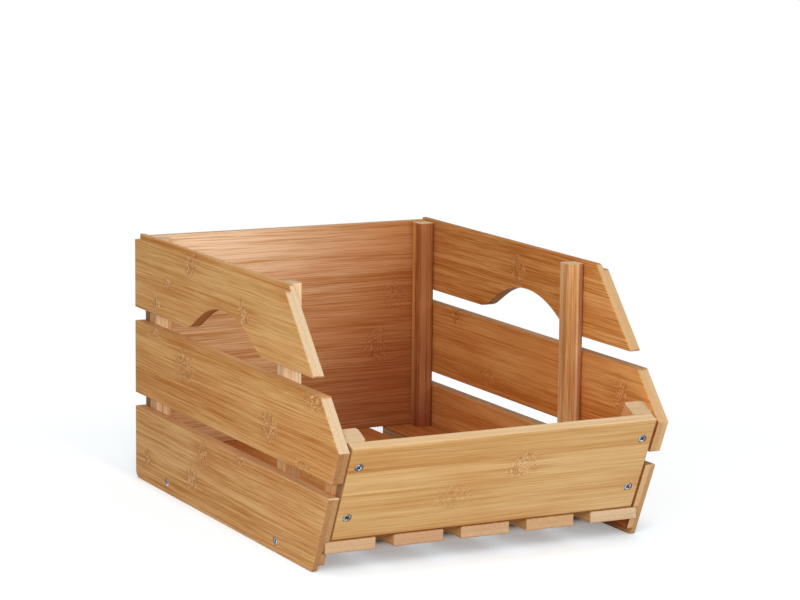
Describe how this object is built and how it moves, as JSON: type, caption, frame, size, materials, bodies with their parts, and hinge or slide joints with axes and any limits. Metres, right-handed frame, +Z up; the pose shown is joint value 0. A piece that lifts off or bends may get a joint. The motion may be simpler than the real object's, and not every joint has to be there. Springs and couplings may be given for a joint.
{
  "type": "stackable storage crate",
  "caption": "Open-front stackable storage crate of laminated bamboo slats, with a leaning front board, handle arches and a tongue-and-rabbet stacking joint.",
  "frame": {"origin": "middle of the footprint, on the ground", "axes": "+Z up, -Y towards the open front, +X to the right seen from the front"},
  "size_m": [0.3, 0.4199, 0.222],
  "materials": {
    "bamboo_sides": "satin oiled bamboo, horizontal grain, two plies",
    "bamboo_front": "satin oiled bamboo, golden, horizontal grain",
    "bamboo_back": "satin oiled bamboo, darker, horizontal grain",
    "bamboo_floor": "satin oiled bamboo, pale cut ends",
    "bamboo_posts": "satin oiled bamboo, upright grain",
    "zinc_screws": "bright zinc, cross recess"
  },
  "bodies": {
    "root": {"left_upper_slat": "bamboo_sides", "left_middle_slat": "bamboo_sides", "left_lower_slat": "bamboo_sides", "right_upper_slat": "bamboo_sides", "right_middle_slat": "bamboo_sides", "right_lower_slat": "bamboo_sides", "front_board": "bamboo_front", "back_board": "bamboo_back", "floor_slat_1": "bamboo_floor", "floor_slat_2": "bamboo_floor", "floor_slat_3": "bamboo_floor", "floor_slat_4": "bamboo_floor", "floor_slat_5": "bamboo_floor", "rear_batten": "bamboo_floor", "front_batten": "bamboo_floor", "rear_left_post": "bamboo_posts", "rear_right_post": "bamboo_posts", "middle_left_post": "bamboo_posts", "middle_right_post": "bamboo_posts", "front_left_post": "bamboo_posts", "front_right_post": "bamboo_posts", "front_board_screws": "zinc_screws", "back_board_screws": "zinc_screws", "left_batten_screws": "zinc_screws", "right_batten_screws": "zinc_screws", "floor_screws": "zinc_screws"}
  },
  "joints": []
}
